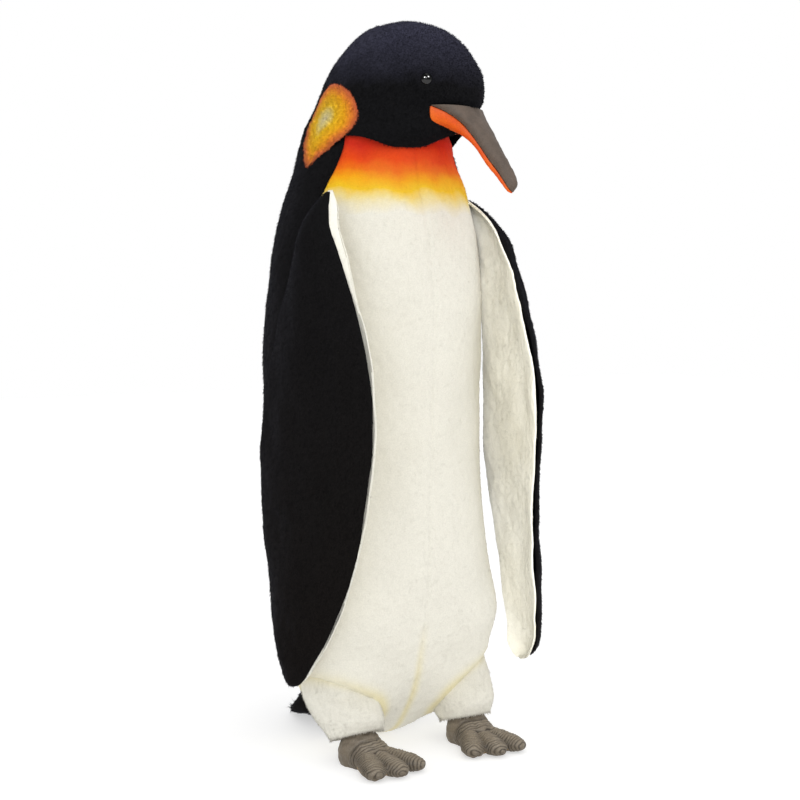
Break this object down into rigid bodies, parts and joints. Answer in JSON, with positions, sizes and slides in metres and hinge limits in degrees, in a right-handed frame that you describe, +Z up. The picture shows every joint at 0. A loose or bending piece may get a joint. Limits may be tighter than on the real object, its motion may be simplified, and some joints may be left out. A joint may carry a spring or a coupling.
{
  "type": "plush penguin",
  "caption": "Tall standing plush penguin with sewn plush panels over stuffing and a bent wire frame, a turning head and two lifting flippers.",
  "frame": {"origin": "on the floor, under the middle of the bounding box", "axes": "+Z up, the penguin's body faces -Y and its left side is +X; at rest its head is turned 25 degrees to its left"},
  "size_m": [0.374, 0.3394, 0.9074],
  "materials": {
    "dark_plush": "short dense pile, near black with a blue cast",
    "white_plush": "short dense pile, warm white, coloured orange to yellow at the throat",
    "ear_plush": "short pile, pale cream in the middle to yellow and orange at the rim",
    "beak_grey": "matt grey-brown artificial suede",
    "beak_orange": "matt orange artificial suede",
    "foot_suede": "grey-brown artificial leather with stitched grooves",
    "stuffing": "white polyester fibre",
    "steel_wire": "drawn wire",
    "gloss_black": "polished",
    "washer_nylon": "moulded",
    "fibre_board": "pressed board"
  },
  "bodies": {
    "torso": {"back_panel_left": "dark_plush", "back_panel_right": "dark_plush", "belly_panel_left": "white_plush", "belly_panel_right": "white_plush", "foot_board_left": "fibre_board", "foot_board_right": "fibre_board", "foot_sole_left": "foot_suede", "foot_sole_right": "foot_suede", "foot_stuffing_left": "stuffing", "foot_stuffing_right": "stuffing", "foot_upper_left": "foot_suede", "foot_upper_right": "foot_suede", "leg_cover_left": "white_plush", "leg_cover_right": "white_plush", "leg_stuffing_left": "stuffing", "leg_stuffing_right": "stuffing", "leg_wire": "steel_wire", "shoulder_wire": "steel_wire", "spine_wire": "steel_wire", "tail_cover": "dark_plush", "tail_stuffing": "stuffing", "tail_wire": "steel_wire", "torso_stuffing": "stuffing"},
    "head": {"beak_lower": "beak_orange", "beak_stuffing": "stuffing", "beak_upper": "beak_grey", "ear_patch_left": "ear_plush", "ear_patch_right": "ear_plush", "eye_left": "gloss_black", "eye_right": "gloss_black", "eye_washer_left": "washer_nylon", "eye_washer_right": "washer_nylon", "head_panel_left": "dark_plush", "head_panel_right": "dark_plush", "head_stuffing": "stuffing", "neck_wire": "steel_wire"},
    "flipper_left": {"flipper_inner_left": "white_plush", "flipper_outer_left": "dark_plush", "flipper_stuffing_left": "stuffing", "flipper_wire_left": "steel_wire"},
    "flipper_right": {"flipper_inner_right": "white_plush", "flipper_outer_right": "dark_plush", "flipper_stuffing_right": "stuffing", "flipper_wire_right": "steel_wire"}
  },
  "joints": [
    {"name": "head_turn", "type": "hinge", "parent": "torso", "child": "head", "pos_m": [-0.0111, 0.0128, 0.7416], "axis": [0, 0, 1], "range_deg": [-55, 5]},
    {"name": "flipper_lift_left", "type": "hinge", "parent": "torso", "child": "flipper_left", "pos_m": [0.1169, -0.0402, 0.69], "axis": [0, -1, 0], "range_deg": [-1, 70]},
    {"name": "flipper_lift_right", "type": "hinge", "parent": "torso", "child": "flipper_right", "pos_m": [-0.1391, -0.0552, 0.697], "axis": [0, 1, 0], "range_deg": [0, 70]}
  ]
}
